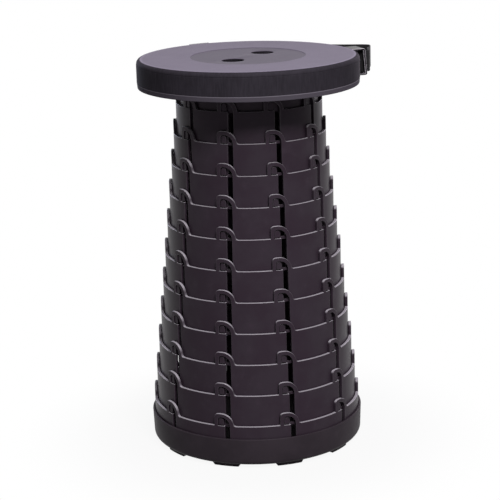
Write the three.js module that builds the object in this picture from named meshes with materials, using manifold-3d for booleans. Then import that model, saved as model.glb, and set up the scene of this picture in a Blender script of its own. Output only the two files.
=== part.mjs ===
// Collapsible telescopic stool: a round seat on eleven nested rings that stand in a shallow tray.
// Millimetres, +Z up, origin on the floor under the middle of the tray, -Y is the front.

import * as THREE from 'three';
import { mergeVertices } from 'three/addons/utils/BufferGeometryUtils.js';
import Module from 'manifold-3d';

const wasm = await Module();
wasm.setup();

// Stack of rings, counted from the top one down
const ringCount = 11;
const columnCount = 10;
const topRingRadius = 82.35;
const ringWall = 3.1;
const ringGap = 0.6;
const stageRise = 34.73;
const ringLap = 1.9;
const topColumnDegrees = 21.5;
const creepDegrees = 0.2;

// Hook, peg pocket and slot that repeat round each ring
const slotWidth = 6;
const hoopHeight = 3.1;
const channelRadius = 9.8;
const hookRim = 4.2;
const ledgeWidth = 8;
const crownCorner = 4.2;
const pegWidth = 5.6;
const pegHeight = 8.6;
const pegGap = 0.7;
const grooveGap = 0.3;
const grooveSkin = 0.9;
const pegTipGap = 0.2;
const pegRoot = 0.5;

// Seat lid
const seatRadius = 125;
const seatAboveTopRing = 49;
const seatPlate = 3;
const seatDepth = 31.4;
const skirtWall = 4;
const seatRounding = 4.2;
const lipHeight = 6;
const lipInset = 0.6;
const dishRadius = 64;
const dishDepth = 0.6;
const dishEdge = 0.8;
const fingerHoleCount = 2;
const fingerHoleRadius = 12.6;
const fingerHoleOffset = 32;
const fingerHoleDegrees = 58.9;
const fingerCollarWall = 2.2;
const fingerCollarDepth = 8;
const seatRibCount = 10;
const seatRibDepth = 6;
const seatRibWall = 2;
const seatHubRadius = 46;

// Strap loops on the skirt, and the carrying strap
const loopDegrees = 20;
const loopTurnDegrees = 95;
const loopWidth = 24;
const loopTop = 0.5;
const rearLoopTop = 1.6;
const loopHeight = 30.5;
const loopArm = 1.6;
const loopReach = 13.2;
const loopLean = 2.4;
const loopWall = 2.5;
const loopCorner = 2.2;
const loopPost = 3.6;
const loopSlot = 4.6;
const strapWidth = 24.4;
const strapThickness = 1.6;
const strapGap = 0.35;
const strapTailLength = 14;
const strapBulge = 42;
const strapFold = 5;
const strapRound = 2.4;
const strapShares = [
  { turn: 0.074, bulge: 0.76 },
  { turn: 0.104, bulge: 0.902 },
  { turn: 0.125, bulge: 0.969 },
  { turn: 0.146, bulge: 0.9 },
  { turn: 0.184, bulge: 0.65 },
  { turn: 0.238, bulge: 0.383 },
  { turn: 0.306, bulge: 0.183 },
  { turn: 0.387, bulge: 0.067 },
];
const strapSnugEndShare = 0.658;
const strapSnugPoints = 3;
const strapReturnShares = [
  { turn: 0.737, bulge: 0.025 },
  { turn: 0.816, bulge: 0.085 },
  { turn: 0.895, bulge: 0.24 },
];
const strapEndSpread = 0.8;

// Collar under the seat, and the screws that hold it
const collarFlange = 15.5;
const collarFlangeThickness = 3;
const screwCount = 5;
const screwRadius = 1.5;
const screwGap = 0.3;
const screwHeadRadius = 3.4;
const screwHeadHeight = 2.2;
const screwLength = 9;
const bossRadius = 4.2;
const bossDepth = 8;

// Tray with its floor and feet
const trayWall = 2.6;
const trayHeight = 34.5;
const trayGap = 0.35;
const trayDraft = 0.9;
const trayCorner = 5.5;
const trayRimRound = 0.6;
const floorThickness = 3;
const floorRibDepth = 5.2;
const floorRibWall = 2.2;
const floorHubRadius = 24;
const floorHubWall = 8;
const trayLugReach = 1.2;
const trayLugGap = 0.3;
const footHeight = 3.6;
const footWidth = 34;
const footSlope = 3;
const footDepth = 11;
const footDegrees = 17.7;

// Clearances and faceting
const restGap = 0.3;
const overrun = 1;
const bury = 0.8;
const ringFacets = 20;
const trayFacets = 40;
const seatFacets = 40;
const hubFacets = 20;
const holeFacets = 16;
const bossFacets = 8;
const screwFacets = 6;
const hookSteps = 3;
const roundSteps = 2;
const rimSteps = 3;
const strapSteps = 2;

// Sizes that follow from the ones above
const ringStep = ringWall + ringGap;
const ringBody = stageRise + ringLap;
const fullTurn = 360;
const quarterTurn = 90;
const columnPitch = fullTurn / columnCount;
const floorTop = footHeight + floorRibDepth + floorThickness;
const lowestEdge = floorTop + restGap + ringBody;
const highestEdge = lowestEdge + (ringCount - 1) * stageRise;
const seatTop = highestEdge + seatAboveTopRing;
const plateUnderside = seatTop - seatPlate;
const seatBottom = seatTop - seatDepth;
const hookHeight = channelRadius + hookRim;
const hookCentre = slotWidth / 2 - channelRadius;
const pocketLeft = -slotWidth / 2 - ledgeWidth;
const pegCentre = pocketLeft + pegGap + pegWidth / 2;
const flangeTop = plateUnderside - bossDepth - restGap;
const screwCircle = topRingRadius - ringStep - ringWall - collarFlange / 2;
const trayWell = topRingRadius + (ringCount - 1) * ringStep + trayGap;
const trayRadius = trayWell + trayWall;

const satinShell = new THREE.MeshStandardMaterial({ color: 0x37333a, roughness: 0.48, metalness: 0 });
const seatShell = new THREE.MeshStandardMaterial({ color: 0x3e3a41, roughness: 0.62, metalness: 0 });
const webbing = new THREE.MeshStandardMaterial({ color: 0x1d1d20, roughness: 0.9, metalness: 0 });
const screwSteel = new THREE.MeshStandardMaterial({ color: 0xb4b6ba, roughness: 0.35, metalness: 1 });

const radians = THREE.MathUtils.degToRad;

// Outer radius of ring number index, where 0 is the collar under the seat
function ringRadius(index) {
  return topRingRadius + (index - 1) * ringStep;
}

// Height of the shoulder that ring number index carries its hooks on
function ringEdge(index) {
  return highestEdge - (index - 1) * stageRise;
}

// Turn of ring number index about the stool's axis, in degrees
function ringTurn(index) {
  return topColumnDegrees - quarterTurn - (index - 1) * creepDegrees;
}

function toSolid(geometry) {
  const bare = geometry.clone();
  bare.deleteAttribute('normal');
  bare.deleteAttribute('uv');
  const merged = mergeVertices(bare);
  const corners = merged.index.array;
  const kept = [];
  for (let i = 0; i < corners.length; i += 3) {
    const [a, b, c] = [corners[i], corners[i + 1], corners[i + 2]];
    if (a !== b && b !== c && c !== a) {
      kept.push(a, b, c);
    }
  }
  const positions = Float32Array.from(merged.attributes.position.array);
  const mesh = new wasm.Mesh({ numProp: 3, vertProperties: positions, triVerts: Uint32Array.from(kept) });
  return new wasm.Manifold(mesh);
}

function toGeometry(solid) {
  const mesh = solid.getMesh();
  const geometry = new THREE.BufferGeometry();
  geometry.setAttribute('position', new THREE.BufferAttribute(mesh.vertProperties, 3));
  geometry.setIndex(new THREE.BufferAttribute(mesh.triVerts, 1));
  geometry.computeVertexNormals();
  return geometry;
}

function named(name, solid, material) {
  const mesh = new THREE.Mesh(toGeometry(solid), material);
  mesh.name = name;
  return mesh;
}

// Revolves [radius, height] points about Z: the flats lie on the true radius, and one faces +X
function revolve(profile, facets) {
  const toCorner = 1 / Math.cos(Math.PI / facets);
  const points = profile.map(([radius, height]) => new THREE.Vector2(radius * toCorner, height));
  const flatToFront = radians(quarterTurn + fullTurn / facets / 2);
  return new THREE.LatheGeometry(points, facets).rotateX(Math.PI / 2).rotateZ(flatToFront);
}

// Closed band of wall between two radii and two heights
function band(inner, outer, bottom, top, facets) {
  return revolve([[inner, bottom], [outer, bottom], [outer, top], [inner, top], [inner, bottom]], facets);
}

// Upright disc or bar
function post(radius, bottom, top, facets) {
  return revolve([[0, bottom], [radius, bottom], [radius, top], [0, top]], facets);
}

function outline(points) {
  return new THREE.Shape(points.map(([x, y]) => new THREE.Vector2(x, y)));
}

// Points on an arc, from one angle to another in degrees
function arc(centreX, centreY, radius, from, to, steps) {
  const points = [];
  for (let i = 0; i <= steps; i += 1) {
    const angle = radians(from + ((to - from) * i) / steps);
    points.push([centreX + radius * Math.cos(angle), centreY + radius * Math.sin(angle)]);
  }
  return points;
}

// Extrudes a shape drawn in (tangential, height) outwards between two distances from the axis
function radialPrism(shape, near, far) {
  const outward = new THREE.Matrix4().makeBasis(
    new THREE.Vector3(0, 1, 0),
    new THREE.Vector3(0, 0, 1),
    new THREE.Vector3(1, 0, 0),
  );
  const geometry = new THREE.ExtrudeGeometry(shape, { depth: far - near, bevelEnabled: false, steps: 1 });
  return geometry.translate(0, 0, near).applyMatrix4(outward);
}

// Extrudes a shape drawn in (radial, height) sideways, centred on the radial line
function tangentPrism(shape, width) {
  const sideways = new THREE.Matrix4().makeBasis(
    new THREE.Vector3(1, 0, 0),
    new THREE.Vector3(0, 0, 1),
    new THREE.Vector3(0, -1, 0),
  );
  const geometry = new THREE.ExtrudeGeometry(shape, { depth: width, bevelEnabled: false, steps: 1 });
  return geometry.translate(0, 0, -width / 2).applyMatrix4(sideways);
}

function block(x0, x1, y0, y1, z0, z1) {
  const box = new THREE.BoxGeometry(x1 - x0, y1 - y0, z1 - z0);
  return box.translate((x0 + x1) / 2, (y0 + y1) / 2, (z0 + z1) / 2);
}

// Joins copies of one geometry turned evenly about Z
function around(geometry, count, startDegrees = 0) {
  let joined = null;
  for (let i = 0; i < count; i += 1) {
    const copy = toSolid(geometry.clone().rotateZ(radians(startDegrees + (fullTurn * i) / count)));
    joined = joined ? joined.add(copy) : copy;
  }
  return joined;
}

// Outline of one hook, from below the shoulder, over the crown and down its long round flank
function hookOutline() {
  const left = pocketLeft - hookRim;
  return outline([
    [left, -bury],
    [left, hookHeight - crownCorner],
    [left + crownCorner, hookHeight],
    ...arc(hookCentre, 0, hookHeight, quarterTurn, 0, hookSteps),
    [hookCentre + hookHeight, -bury],
  ]);
}

// Outline of the opening: a slot that rises, bends over and ends in the peg's pocket
function channelOutline() {
  const slotBottom = hoopHeight - ringBody;
  const pocketCorner = hookCentre - pocketLeft;
  return outline([
    [slotWidth / 2, slotBottom],
    ...arc(hookCentre, 0, channelRadius, 0, quarterTurn, hookSteps),
    [pocketLeft, channelRadius - pocketCorner],
    [pocketLeft, 0],
    [-slotWidth / 2, 0],
    [-slotWidth / 2, slotBottom],
  ]);
}

// Round-topped outline of a peg, or of its pocket when it has a margin
function pegOutline(margin) {
  const half = pegWidth / 2 + margin;
  return outline([
    [pegCentre - half, restGap - margin],
    [pegCentre + half, restGap - margin],
    ...arc(pegCentre, restGap + pegHeight - pegWidth / 2, half, 0, fullTurn / 2, roundSteps),
  ]);
}

// Ten pegs on a wall of the given radius, for the pockets of the next ring out
function pegs(radius, reach, edge) {
  const peg = radialPrism(pegOutline(0), radius - pegRoot, radius + reach);
  return around(peg.translate(0, 0, edge), columnCount, -creepDegrees);
}

// Guide grooves up the inside of a ring, for the pegs of the ring within
function grooves(outer) {
  const half = pegWidth / 2 + grooveGap;
  const groove = block(
    outer / 2, outer - grooveSkin,
    pegCentre - half, pegCentre + half,
    -ringBody - overrun, bury,
  );
  return around(groove, columnCount);
}

// A ring stands with its shoulder at zero: hooks above it, slots and guide grooves below it
function ringSolid(index) {
  const outer = ringRadius(index);
  const inner = outer - ringWall;
  const far = outer + ringWall;
  const tube = toSolid(band(inner, outer, -ringBody, hookHeight + overrun, ringFacets));
  const belowShoulder = toSolid(post(far, -ringBody - overrun, 0, ringFacets));
  const hooks = around(radialPrism(hookOutline(), inner / 2, far), columnCount);
  const channels = around(radialPrism(channelOutline(), inner / 2, far), columnCount);
  const wall = tube.intersect(belowShoulder.add(hooks));
  return wall.subtract(channels).subtract(grooves(outer));
}

function ring(index) {
  const isLowest = index === ringCount;
  const pegReach = ringGap + ringWall - grooveSkin - pegTipGap;
  const reach = isLowest ? trayGap + trayLugReach : pegReach;
  const solid = ringSolid(index).add(pegs(ringRadius(index), reach, -stageRise));
  const mesh = named(`ring_${index}`, solid, satinShell);
  mesh.position.z = ringEdge(index);
  mesh.rotation.z = radians(ringTurn(index));
  return mesh;
}

// The seat's own short tube: it carries the pegs for the top ring and a flange for the screws
function collar() {
  const outer = ringRadius(0);
  const inner = outer - ringWall;
  const bottom = -ringLap;
  const top = seatAboveTopRing - seatPlate - restGap;
  const flangeHeight = flangeTop - highestEdge;
  const flangeInner = inner - collarFlange;
  const profile = [
    [outer, bottom],
    [outer, top],
    [inner, top],
    [inner, flangeHeight],
    [flangeInner, flangeHeight],
    [flangeInner, flangeHeight - collarFlangeThickness],
    [inner, flangeHeight - collarFlangeThickness],
    [inner, bottom],
    [outer, bottom],
  ];
  const hole = post(screwRadius + screwGap, flangeHeight - collarFlangeThickness - overrun,
    flangeHeight + overrun, bossFacets).translate(screwCircle, 0, 0);
  const reach = ringGap + ringWall - grooveSkin - pegTipGap;
  const solid = toSolid(revolve(profile, ringFacets))
    .add(pegs(outer, reach, 0))
    .subtract(around(hole, screwCount));
  const mesh = named('seat_collar', solid, satinShell);
  mesh.position.z = highestEdge;
  mesh.rotation.z = radians(ringTurn(0));
  return mesh;
}

// Profile of the lid: dished top, rounded rim, skirt with a bevelled lip, open underneath
function lidProfile() {
  const inner = seatRadius - skirtWall;
  const under = seatDepth - seatPlate;
  const rim = arc(seatRadius - seatRounding, seatDepth - seatRounding, seatRounding, 0, quarterTurn, rimSteps);
  return [
    [0, under],
    [inner, under],
    [inner, 0],
    [seatRadius - lipInset, 0],
    [seatRadius, lipHeight],
    ...rim,
    [dishRadius + dishEdge, seatDepth],
    [dishRadius, seatDepth - dishDepth],
    [0, seatDepth - dishDepth],
  ];
}

// Which way round a loop faces: the strap always comes from the back of the seat
function facing(degrees) {
  return degrees < quarterTurn ? 1 : -1;
}

// Belt loop on the skirt: two arms and an outer wall, slotted so that its rear part is the strap's bar
function strapLoop(degrees, top) {
  const highRoot = seatRadius - seatRounding;
  const lowRoot = seatRadius - lipInset - bury;
  const high = seatDepth - top;
  const low = seatDepth - loopTop - loopHeight;
  const reach = seatRadius + loopReach;
  const frame = outline([
    [lowRoot, low],
    ...arc(reach + loopLean - loopCorner, low + loopCorner, loopCorner, -quarterTurn, 0, roundSteps),
    ...arc(reach - loopCorner, high - loopCorner, loopCorner, 0, quarterTurn, roundSteps),
    [highRoot, high],
  ]);
  const eye = [
    [seatRadius + bury, low + loopArm],
    [seatRadius + bury, high - loopArm],
    [reach - loopWall, high - loopArm],
    [reach + loopLean - loopWall, low + loopArm],
  ];
  frame.holes.push(new THREE.Path(eye.map(([x, y]) => new THREE.Vector2(x, y))));
  const slotMiddle = facing(degrees) * (loopPost + loopSlot / 2 - loopWidth / 2);
  const slot = block(
    reach - loopWall - overrun, reach + loopLean + overrun,
    slotMiddle - loopSlot / 2, slotMiddle + loopSlot / 2,
    low + loopArm, high - loopArm,
  );
  const turned = radians(degrees);
  return toSolid(tangentPrism(frame, loopWidth).rotateZ(turned)).subtract(toSolid(slot.rotateZ(turned)));
}

function lid() {
  const under = seatDepth - seatPlate;
  const collarOuter = fingerHoleRadius + fingerCollarWall;
  const fingerCollar = post(collarOuter, under - fingerCollarDepth, under + bury, holeFacets);
  const fingerHole = post(fingerHoleRadius, under - fingerCollarDepth - overrun, seatDepth + overrun, holeFacets);
  const boss = post(bossRadius, under - bossDepth, under + bury, bossFacets);
  const pilot = post(screwRadius + screwGap, under - bossDepth - overrun, under - restGap, bossFacets);
  const ribEnd = screwCircle - bossRadius;
  const rib = block(seatHubRadius, ribEnd, -seatRibWall / 2, seatRibWall / 2, under - seatRibDepth, under + bury);
  const hub = band(seatHubRadius - seatRibWall, seatHubRadius + bury, under - seatRibDepth, under + bury, hubFacets);
  let solid = toSolid(revolve(lidProfile(), seatFacets))
    .add(around(fingerCollar.translate(fingerHoleOffset, 0, 0), fingerHoleCount, fingerHoleDegrees))
    .add(toSolid(hub))
    .add(around(rib, seatRibCount, fullTurn / seatRibCount / 2))
    .add(around(boss.translate(screwCircle, 0, 0), screwCount, ringTurn(0)));
  solid = solid
    .subtract(around(fingerHole.translate(fingerHoleOffset, 0, 0), fingerHoleCount, fingerHoleDegrees))
    .subtract(around(pilot.translate(screwCircle, 0, 0), screwCount, ringTurn(0)))
    .add(strapLoop(loopDegrees, loopTop))
    .add(strapLoop(loopDegrees + loopTurnDegrees, rearLoopTop));
  const mesh = named('seat_lid', solid, seatShell);
  mesh.position.z = seatBottom;
  return mesh;
}

// Pan-head screw: head below the flange, shank up into the boss
function screw(index) {
  const profile = [
    [0, -screwHeadHeight],
    [screwHeadRadius / 2, -screwHeadHeight],
    [screwHeadRadius, -screwHeadHeight / 2],
    [screwHeadRadius, 0],
    [screwRadius, 0],
    [screwRadius, screwLength],
    [0, screwLength],
  ];
  const mesh = named(`seat_screw_${index + 1}`, toSolid(revolve(profile, screwFacets)), screwSteel);
  const angle = radians(ringTurn(0) + (fullTurn * index) / screwCount);
  const underFlange = flangeTop - collarFlangeThickness - restGap;
  mesh.position.set(screwCircle * Math.cos(angle), screwCircle * Math.sin(angle), underFlange);
  return mesh;
}

// Turns a place beside a strap loop, [radial, tangential], into plan coordinates
function besideLoop(degrees, radial, tangential) {
  const angle = radians(degrees);
  const side = facing(degrees) * tangential;
  return new THREE.Vector2(
    radial * Math.cos(angle) - side * Math.sin(angle),
    radial * Math.sin(angle) + side * Math.cos(angle),
  );
}

// The strap's end at one loop: tail inside the eye, fold out through the slot, back outside the bar
function strapEnd(degrees, spread) {
  const reach = seatRadius + loopReach;
  const inside = reach - loopWall - strapThickness / 2 - strapGap;
  const outside = reach + loopLean + strapThickness / 2 + strapGap + spread;
  const fold = loopPost + loopSlot / 2 - loopWidth / 2;
  return [
    besideLoop(degrees, inside, strapTailLength),
    besideLoop(degrees, inside, fold + strapRound),
    besideLoop(degrees, inside + strapRound, fold),
    besideLoop(degrees, outside - strapRound, fold),
    besideLoop(degrees, outside, fold + strapRound),
    besideLoop(degrees, outside + spread, loopWidth / 2),
  ];
}

// Plan points of the strap's middle line, from one tail round the back of the seat to the other
function strapLine() {
  const snug = seatRadius + strapThickness;
  const lastShare = strapShares.at(-1).turn;
  const stops = [...strapShares];
  for (let i = 1; i <= strapSnugPoints; i += 1) {
    stops.push({ turn: lastShare + ((strapSnugEndShare - lastShare) * i) / strapSnugPoints, bulge: 0 });
  }
  stops.push(...strapReturnShares);
  const back = stops.map(({ turn, bulge }) => {
    const angle = radians(loopDegrees + loopTurnDegrees * turn);
    const radius = snug + strapBulge * bulge;
    return new THREE.Vector2(radius * Math.cos(angle), radius * Math.sin(angle));
  });
  const farEnd = strapEnd(loopDegrees + loopTurnDegrees, strapEndSpread);
  return [...strapEnd(loopDegrees, strapFold), ...back, ...farEnd.reverse()];
}

// The strap as one band of webbing on edge
function strap() {
  const curvePoints = strapLine().map((p) => new THREE.Vector3(p.x, p.y, 0));
  const curve = new THREE.CatmullRomCurve3(curvePoints, false, 'centripetal');
  const count = curvePoints.length * strapSteps;
  const left = [];
  const right = [];
  for (let i = 0; i <= count; i += 1) {
    const at = curve.getPoint(i / count);
    const along = curve.getTangent(i / count);
    left.push([at.x - (along.y * strapThickness) / 2, at.y + (along.x * strapThickness) / 2]);
    right.push([at.x + (along.y * strapThickness) / 2, at.y - (along.x * strapThickness) / 2]);
  }
  const shape = outline([...left, ...right.reverse()]);
  const geometry = new THREE.ExtrudeGeometry(shape, { depth: strapWidth, bevelEnabled: false, steps: 1 });
  const mesh = named('carry_strap', toSolid(geometry), webbing);
  mesh.position.z = seatTop - loopTop - loopHeight / 2 - strapWidth / 2;
  return mesh;
}

// Outside of the tray: hub that ends in a centre foot, hollow, rim with a rounded corner and a tapered wall
function trayProfile() {
  const lowRadius = trayRadius - trayDraft;
  const rimInner = lowRadius - trayCorner - footDepth;
  const corner = arc(lowRadius - trayCorner, footHeight + trayCorner, trayCorner, -quarterTurn, 0, roundSteps);
  return [
    [0, 0],
    [floorHubRadius - footSlope, 0],
    [floorHubRadius, footHeight],
    [floorHubRadius, footHeight + floorRibDepth],
    [rimInner, footHeight + floorRibDepth],
    [rimInner, footHeight],
    ...corner,
    [trayRadius, trayHeight - trayRimRound],
    [trayRadius - trayRimRound, trayHeight],
    [0, trayHeight],
  ];
}

// Inside of the tray: the well for the lowest ring, with the hub's hollow in its floor
function trayHollow() {
  const hubInner = floorHubRadius - floorHubWall;
  return [
    [0, floorThickness],
    [hubInner, floorThickness],
    [hubInner, floorTop],
    [trayWell, floorTop],
    [trayWell, trayHeight + overrun],
    [0, trayHeight + overrun],
  ];
}

// One foot: a low pad with sloping ends, under the rim of the tray
function foot() {
  const top = footWidth / 2;
  const pad = outline([
    [-top, footHeight + bury],
    [-top, footHeight],
    [footSlope - top, 0],
    [top - footSlope, 0],
    [top, footHeight],
    [top, footHeight + bury],
  ]);
  const outer = trayRadius - trayDraft - trayCorner;
  return radialPrism(pad, outer - footDepth, outer);
}

function tray() {
  const rimInner = trayRadius - trayDraft - trayCorner - footDepth;
  const rib = block(
    floorHubRadius - bury, rimInner + bury,
    -floorRibWall / 2, floorRibWall / 2,
    footHeight + restGap, footHeight + floorRibDepth + bury,
  );
  const pocket = radialPrism(pegOutline(trayLugGap), trayWell - overrun, trayWell + trayLugReach + pegTipGap)
    .translate(0, 0, lowestEdge - stageRise);
  const solid = toSolid(revolve(trayProfile(), trayFacets))
    .add(around(foot(), columnCount, footDegrees - quarterTurn - ringTurn(ringCount)))
    .add(around(rib, columnCount, columnPitch / 2))
    .subtract(toSolid(revolve(trayHollow(), ringFacets)))
    .subtract(around(pocket, columnCount, -creepDegrees));
  const mesh = named('base_tray', solid, satinShell);
  mesh.rotation.z = radians(ringTurn(ringCount));
  return mesh;
}

const stool = new THREE.Group();
stool.name = 'telescopic_stool';
stool.add(lid(), collar(), strap(), tray());
for (let index = 0; index < screwCount; index += 1) {
  stool.add(screw(index));
}
for (let index = 1; index <= ringCount; index += 1) {
  stool.add(ring(index));
}

export default stool;
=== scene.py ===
"""Dresses the telescopic stool: nested rings, seat lid, tray, carrying strap, finishes, light and camera.

All sizes are in metres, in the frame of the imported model: +Z up, -Y towards the camera.
"""

import logging
import math
from collections.abc import Callable, Iterable, Sequence
from dataclasses import dataclass, replace
from enum import Enum

import bmesh
import bpy
from bmesh.types import BMesh, BMFace
from bpy.types import Material, NodeSocket, Object, World
from mathutils import Matrix, Vector

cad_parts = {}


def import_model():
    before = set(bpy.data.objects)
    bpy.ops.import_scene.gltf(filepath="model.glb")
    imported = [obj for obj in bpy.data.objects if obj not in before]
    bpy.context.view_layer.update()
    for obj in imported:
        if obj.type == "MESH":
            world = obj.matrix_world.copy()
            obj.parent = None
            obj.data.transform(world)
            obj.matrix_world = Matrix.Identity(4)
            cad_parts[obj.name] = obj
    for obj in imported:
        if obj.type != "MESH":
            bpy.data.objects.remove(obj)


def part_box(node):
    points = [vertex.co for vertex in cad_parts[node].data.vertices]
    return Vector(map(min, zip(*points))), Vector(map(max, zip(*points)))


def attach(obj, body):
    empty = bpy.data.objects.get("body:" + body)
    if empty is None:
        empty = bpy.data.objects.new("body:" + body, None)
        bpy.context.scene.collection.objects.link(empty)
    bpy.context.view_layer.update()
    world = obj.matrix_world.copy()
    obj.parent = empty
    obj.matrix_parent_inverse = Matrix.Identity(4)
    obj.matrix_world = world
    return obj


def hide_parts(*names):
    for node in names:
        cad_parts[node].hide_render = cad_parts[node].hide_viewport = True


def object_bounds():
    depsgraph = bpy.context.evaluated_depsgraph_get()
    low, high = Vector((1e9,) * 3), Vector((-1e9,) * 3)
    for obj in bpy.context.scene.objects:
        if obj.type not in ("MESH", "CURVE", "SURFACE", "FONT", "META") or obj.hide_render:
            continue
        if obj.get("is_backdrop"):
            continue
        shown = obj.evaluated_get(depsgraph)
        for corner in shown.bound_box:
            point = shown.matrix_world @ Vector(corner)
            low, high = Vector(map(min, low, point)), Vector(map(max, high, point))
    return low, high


MM = 0.001
QUARTER = math.pi / 2
FULL_TURN = 2 * math.pi

Point = tuple[float, float]
Spot = tuple[float, float, float]
Setting = str | float | int | bool
Value = "float | tuple[float, ...] | Wire"

log = logging.getLogger("stool")


def arc(centre: Point, radius: float, start: float, end: float, steps: int) -> list[Point]:
    """Points on an arc.

    Args:
        centre: The arc's centre.
        radius: Its radius.
        start: The angle of the first point, in degrees.
        end: The angle of the last point, in degrees.
        steps: The number of stretches between the points.

    Returns:
        steps + 1 points from start to end.
    """
    points = []
    for i in range(steps + 1):
        angle = math.radians(start + (end - start) * i / steps)
        points.append((centre[0] + radius * math.cos(angle), centre[1] + radius * math.sin(angle)))
    return points


def bend(start: Point, corner: Point, end: Point, steps: int) -> list[Point]:
    """Points on a smooth bend that leaves start towards corner and comes to end from it.

    Args:
        start: The first point, which is left out.
        corner: The point that both ends aim at.
        end: The last point.
        steps: The number of points.

    Returns:
        steps points, of which the last is end.
    """
    points = []
    for i in range(1, steps + 1):
        t = i / steps
        a, b, c = (1 - t) ** 2, 2 * t * (1 - t), t * t
        points.append((a * start[0] + b * corner[0] + c * end[0], a * start[1] + b * corner[1] + c * end[1]))
    return points


def rectangle(left: float, low: float, right: float, high: float) -> list[Point]:
    """The corners of a rectangle, in order."""
    return [(left, low), (right, low), (right, high), (left, high)]


def band(one: Sequence[Point], other: Sequence[Point]) -> list[list[Point]]:
    """The four-cornered cells between two edges of as many points, in order."""
    return [[one[i], one[i + 1], other[i + 1], other[i]] for i in range(len(one) - 1)]


def spread(radius: float, turn: float, count: int) -> list[Point]:
    """Plan places spread evenly round the axis, the first at the given angle in radians."""
    angles = [turn + FULL_TURN * i / count for i in range(count)]
    return [(radius * math.cos(a), radius * math.sin(a)) for a in angles]


class CellSolid:
    """A closed solid joined from six-sided cells: a face that two cells share disappears."""

    def __init__(self, place: Callable[[float, float, float], Vector]) -> None:
        """Starts an empty solid.

        Args:
            place: Turns a cell corner, two plan coordinates and a depth, into a point in metres.
        """
        self.place = place
        self.faces: dict[frozenset, list[tuple]] = {}
        self.spots: dict[tuple, Vector] = {}

    def corner(self, x: float, y: float, depth: float) -> tuple:
        """The key of one cell corner, the same for all cells that meet there."""
        spot = self.place(x, y, depth)
        key = tuple(round(c / MM, 4) + 0.0 for c in spot)
        self.spots.setdefault(key, spot)
        return key

    def add(self, plan: Sequence[Point], near: float, far: float) -> None:
        """Adds one cell.

        Args:
            plan: Its corners in plan, in order round the cell.
            near: The depth of its first face.
            far: The depth of its last face.
        """
        low = [self.corner(x, y, near) for x, y in plan]
        high = [self.corner(x, y, far) for x, y in plan]
        loops = [low, high]
        for i in range(len(plan)):
            j = (i + 1) % len(plan)
            loops.append([low[i], low[j], high[j], high[i]])
        for loop in loops:
            face = frozenset(loop)
            if face in self.faces:
                del self.faces[face]
            else:
                self.faces[face] = loop

    def pour(self, mesh: BMesh) -> None:
        """Adds the solid's faces to a mesh under construction."""
        made = {}
        for loop in self.faces.values():
            for key in loop:
                if key not in made:
                    made[key] = mesh.verts.new(self.spots[key])
            mesh.faces.new([made[key] for key in loop])


def pour_rows(mesh: BMesh, rows: Sequence[Sequence[Vector | Spot]],
              closed: bool = False) -> list[BMFace]:
    """Joins rings of points with faces.

    Args:
        mesh: The mesh that takes them.
        rows: The rings, each of as many points.
        closed: Whether the last ring joins the first one. If not, a flat face closes each end.

    Returns:
        The four-sided faces, ring by ring.
    """
    made = [[mesh.verts.new(point) for point in row] for row in rows]
    quads = []
    for low, high in zip(made, made[1:] + made[:1] if closed else made[1:]):
        for i in range(len(low)):
            j = (i + 1) % len(low)
            quads.append(mesh.faces.new((low[i], low[j], high[j], high[i])))
    if not closed:
        mesh.faces.new(made[0])
        mesh.faces.new(made[-1])
    return quads


def pour_revolved(mesh: BMesh, profile: Sequence[Point], segments: int,
                  centre: Point = (0.0, 0.0)) -> None:
    """Adds a revolved solid to a mesh under construction.

    Args:
        mesh: The mesh that takes it.
        profile: Radius and height of each point. A closed profile repeats its first point; an open
            one starts and ends near the axis, and each end is closed by one flat face.
        segments: Points in each circle.
        centre: Where the axis stands in plan.
    """
    closed = profile[0] == profile[-1]
    circle = spread(1.0, 0.0, segments)
    rows = [[(centre[0] + radius * x, centre[1] + radius * y, height) for x, y in circle]
            for radius, height in (profile[:-1] if closed else profile)]
    pour_rows(mesh, rows, closed)


def tube(inner: float, outer: float, low: float, high: float) -> list[Point]:
    """The closed profile of a plain tube."""
    return [(inner, low), (outer, low), (outer, high), (inner, high), (inner, low)]


def pour_box(mesh: BMesh, low: Spot, high: Spot, turn: float,
             centre: Point = (0.0, 0.0)) -> None:
    """Adds a block to a mesh under construction.

    Args:
        mesh: The mesh that takes it.
        low: Its lowest corner before it is turned.
        high: Its highest corner before it is turned.
        turn: How far it is turned about the centre, in radians.
        centre: Where its origin stands in plan.
    """
    about = Matrix.Translation((*centre, 0.0)) @ Matrix.Rotation(turn, 4, "Z")
    block = CellSolid(lambda x, y, z: about @ Vector((x, y, z)))
    block.add(rectangle(*low[:2], *high[:2]), low[2], high[2])
    block.pour(mesh)


@dataclass(frozen=True)
class Edging:
    """How far a moulding's sharp edges are rounded."""

    width: float = 0.35 * MM
    steps: int = 2
    sharper_than: float = math.radians(32)
    weighted: bool = False
    # Whether the rounded edges take a second material, glossier and with a painted highlight where they face
    # up.
    gloss_and_painted_highlight: bool = False


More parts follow.
